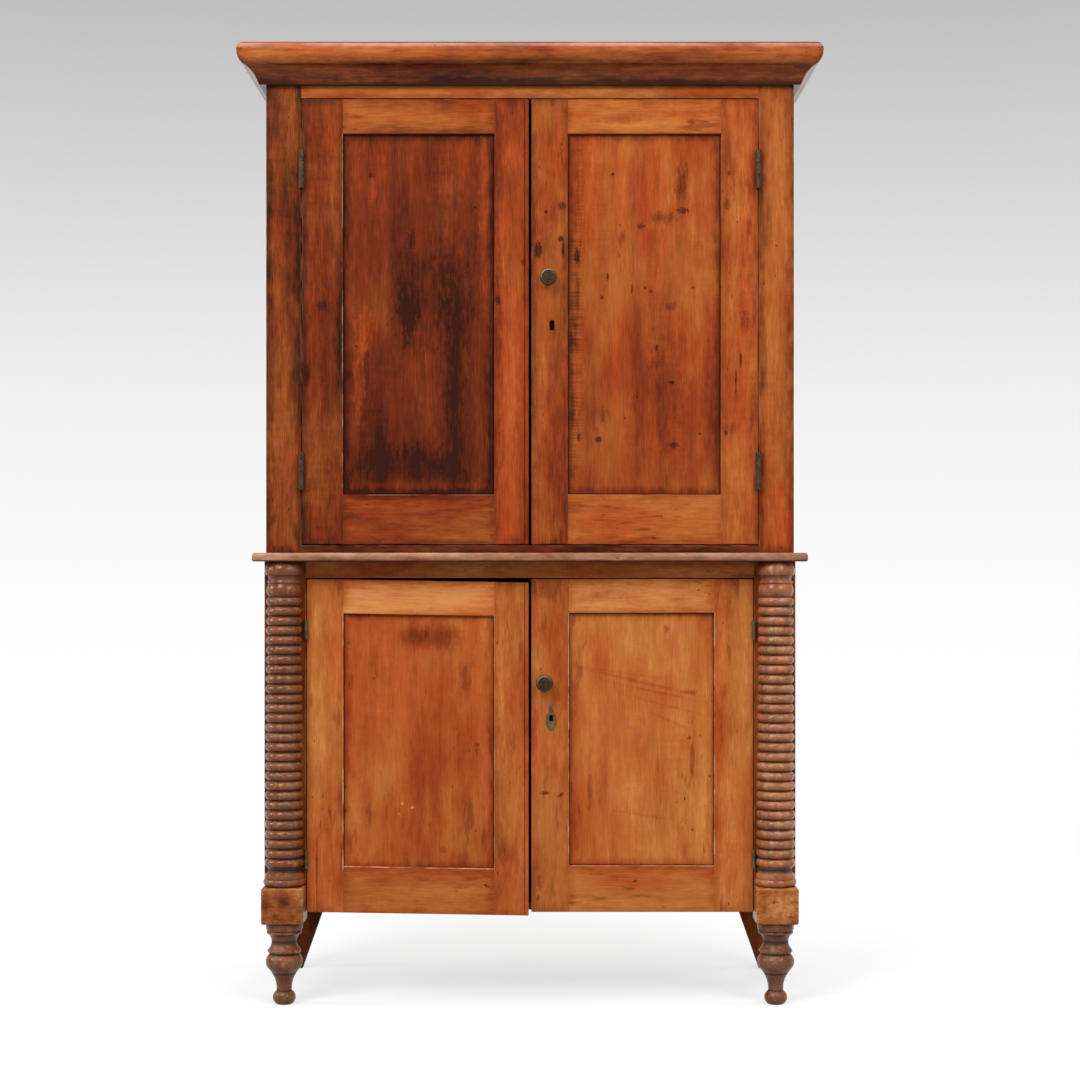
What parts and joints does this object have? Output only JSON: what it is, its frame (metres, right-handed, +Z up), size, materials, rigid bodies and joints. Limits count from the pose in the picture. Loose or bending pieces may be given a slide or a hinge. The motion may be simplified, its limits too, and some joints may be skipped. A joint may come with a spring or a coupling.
{
  "type": "step-back cupboard",
  "caption": "Tall two-part wooden cupboard: shallow upper case with a cornice and panelled doors on a deeper lower case with doors between ring-turned columns on turned feet.",
  "frame": {"origin": "on the floor, under the middle of the cupboard's outer box", "axes": "+Z up, +Y from the front towards the back, +X to the right as seen from the front"},
  "size_m": [1.282, 0.5, 2.106],
  "materials": {
    "case_wood": "old worn varnish, satin",
    "panel_wood": "old worn varnish, satin",
    "turned_wood": "old dark varnish, satin",
    "bare_wood": "unfinished, aged",
    "iron": "aged, dull",
    "dark_bronze": "dark, worn"
  },
  "bodies": {
    "case": {"cornice_front": "case_wood", "cornice_returns": "case_wood", "hinge_frame_leaves": "iron", "hinge_pins": "iron", "left_column": "turned_wood", "left_front_foot": "turned_wood", "lower_back_boards": "bare_wood", "lower_bottom_board": "bare_wood", "lower_left_side": "case_wood", "lower_left_stile": "case_wood", "lower_right_side": "case_wood", "lower_right_stile": "case_wood", "lower_shelf": "bare_wood", "lower_top_rail": "case_wood", "rear_legs": "bare_wood", "right_column": "turned_wood", "right_front_foot": "turned_wood", "upper_back_boards": "bare_wood", "upper_bottom_board": "bare_wood", "upper_left_side": "case_wood", "upper_left_stile": "case_wood", "upper_right_side": "case_wood", "upper_right_stile": "case_wood", "upper_shelves": "bare_wood", "upper_top_board": "bare_wood", "upper_top_rail": "case_wood", "waist_board": "case_wood"},
    "upper_left_door": {"upper_left_door_bottom_rail": "case_wood", "upper_left_door_hinge_leaves": "iron", "upper_left_door_hinge_stile": "case_wood", "upper_left_door_meeting_stile": "case_wood", "upper_left_door_panel": "panel_wood", "upper_left_door_top_rail": "case_wood"},
    "upper_right_door": {"upper_right_door_bottom_rail": "case_wood", "upper_right_door_hinge_leaves": "iron", "upper_right_door_hinge_stile": "case_wood", "upper_right_door_meeting_stile": "case_wood", "upper_right_door_panel": "panel_wood", "upper_right_door_top_rail": "case_wood", "upper_knob": "dark_bronze", "upper_lock_case": "iron"},
    "lower_left_door": {"lower_left_door_bottom_rail": "case_wood", "lower_left_door_hinge_leaves": "iron", "lower_left_door_hinge_stile": "case_wood", "lower_left_door_meeting_stile": "case_wood", "lower_left_door_panel": "panel_wood", "lower_left_door_top_rail": "case_wood"},
    "lower_right_door": {"lower_right_door_bottom_rail": "case_wood", "lower_right_door_hinge_leaves": "iron", "lower_right_door_hinge_stile": "case_wood", "lower_right_door_meeting_stile": "case_wood", "lower_right_door_panel": "panel_wood", "lower_right_door_top_rail": "case_wood", "lower_knob": "dark_bronze", "lower_lock_case": "iron", "lower_escutcheon": "dark_bronze"},
    "upper_lock_bolt": {"upper_lock_bolt": "iron"},
    "lower_lock_bolt": {"lower_lock_bolt": "iron"},
    "upper_left_turn_button": {"upper_left_turn_button": "case_wood"},
    "lower_left_turn_button": {"lower_left_turn_button": "case_wood"}
  },
  "joints": [
    {"name": "upper_left_door_hinge", "type": "hinge", "parent": "case", "child": "upper_left_door", "pos_m": [-0.50425, -0.1652, 1.5], "axis": [0, 0, -1], "range_deg": [0, 165]},
    {"name": "upper_right_door_hinge", "type": "hinge", "parent": "case", "child": "upper_right_door", "pos_m": [0.50425, -0.1652, 1.5], "axis": [0, 0, 1], "range_deg": [0, 165]},
    {"name": "lower_left_door_hinge", "type": "hinge", "parent": "case", "child": "lower_left_door", "pos_m": [-0.49125, -0.1934, 0.56], "axis": [0, 0, -1], "range_deg": [0, 95]},
    {"name": "lower_right_door_hinge", "type": "hinge", "parent": "case", "child": "lower_right_door", "pos_m": [0.49125, -0.1934, 0.56], "axis": [0, 0, 1], "range_deg": [0, 95]},
    {"name": "upper_lock_bolt_slide", "type": "slide", "parent": "upper_right_door", "child": "upper_lock_bolt", "axis": [-1, 0, 0], "range_m": [0, 0.02]},
    {"name": "lower_lock_bolt_slide", "type": "slide", "parent": "lower_right_door", "child": "lower_lock_bolt", "axis": [-1, 0, 0], "range_m": [0, 0.02]},
    {"name": "upper_left_turn_button_pivot", "type": "hinge", "parent": "upper_left_door", "child": "upper_left_turn_button", "pos_m": [-0.041, -0.13, 1.9525], "axis": [0, 1, 0], "range_deg": [0, 180]},
    {"name": "lower_left_turn_button_pivot", "type": "hinge", "parent": "lower_left_door", "child": "lower_left_turn_button", "pos_m": [-0.041, -0.16, 0.88612], "axis": [0, 1, 0], "range_deg": [0, 180]}
  ]
}
